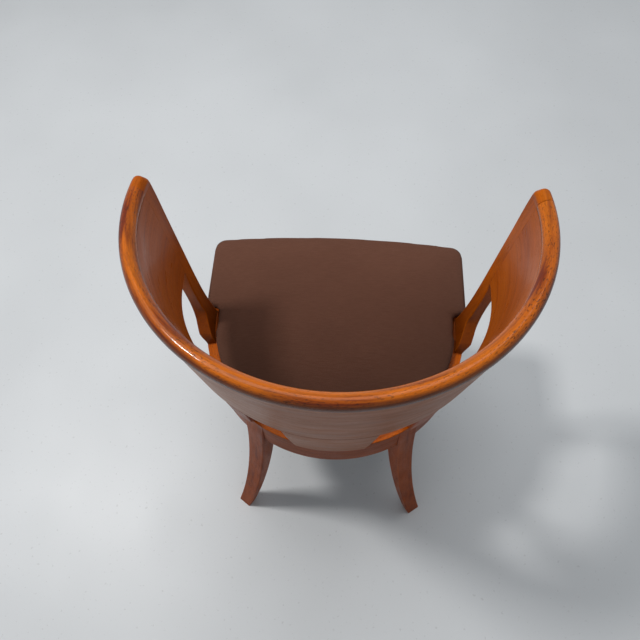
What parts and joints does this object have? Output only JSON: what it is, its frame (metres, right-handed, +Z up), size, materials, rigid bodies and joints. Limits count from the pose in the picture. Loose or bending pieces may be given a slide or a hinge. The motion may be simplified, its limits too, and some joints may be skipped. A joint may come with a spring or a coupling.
{
  "type": "klismos armchair",
  "caption": "Klismos chair with a round, flared barrel back that carries on as arms, sabre legs and an upholstered seat on a horseshoe frame.",
  "frame": {"origin": "on the floor, under the middle of the bounding box", "axes": "+Z up, the chair faces -Y, +X to the sitter's left"},
  "size_m": [0.6066, 0.519, 0.8063],
  "materials": {
    "polished_wood": "polished, glossy",
    "plain_wood": "sawn, unpolished",
    "seat_fabric": "matte plain weave",
    "hessian": "coarse weave",
    "webbing": "twill tape",
    "dust_cloth": "thin matte cloth",
    "screw_steel": "plain"
  },
  "bodies": {
    "root": {"crest_board_back": "polished_wood", "crest_board_left": "polished_wood", "crest_board_right": "polished_wood", "crest_cap_back": "polished_wood", "crest_cap_left": "polished_wood", "crest_cap_right": "polished_wood", "back_splat": "polished_wood", "arm_support_left": "polished_wood", "arm_support_right": "polished_wood", "rear_leg_left": "polished_wood", "rear_leg_right": "polished_wood", "front_leg_left": "polished_wood", "front_leg_right": "polished_wood", "seat_rail_back": "polished_wood", "seat_rail_front": "polished_wood", "seat_rail_left": "polished_wood", "seat_rail_right": "polished_wood", "crest_spline_left": "plain_wood", "crest_spline_right": "plain_wood", "arm_dowel_left_1": "plain_wood", "arm_dowel_left_2": "plain_wood", "arm_dowel_right_1": "plain_wood", "arm_dowel_right_2": "plain_wood", "corner_block_rear_left": "plain_wood", "corner_block_rear_right": "plain_wood", "corner_block_front_left": "plain_wood", "corner_block_front_right": "plain_wood", "corner_screw_left_1": "screw_steel", "corner_screw_left_2": "screw_steel", "corner_screw_left_3": "screw_steel", "corner_screw_left_4": "screw_steel", "corner_screw_right_1": "screw_steel", "corner_screw_right_2": "screw_steel", "corner_screw_right_3": "screw_steel", "corner_screw_right_4": "screw_steel", "webbing_cross_1": "webbing", "webbing_cross_2": "webbing", "webbing_cross_3": "webbing", "webbing_cross_4": "webbing", "webbing_cross_5": "webbing", "webbing_length_1": "webbing", "webbing_length_2": "webbing", "webbing_length_3": "webbing", "webbing_length_4": "webbing", "seat_hessian": "hessian", "seat_cover": "seat_fabric", "dust_cover": "dust_cloth"}
  },
  "joints": []
}
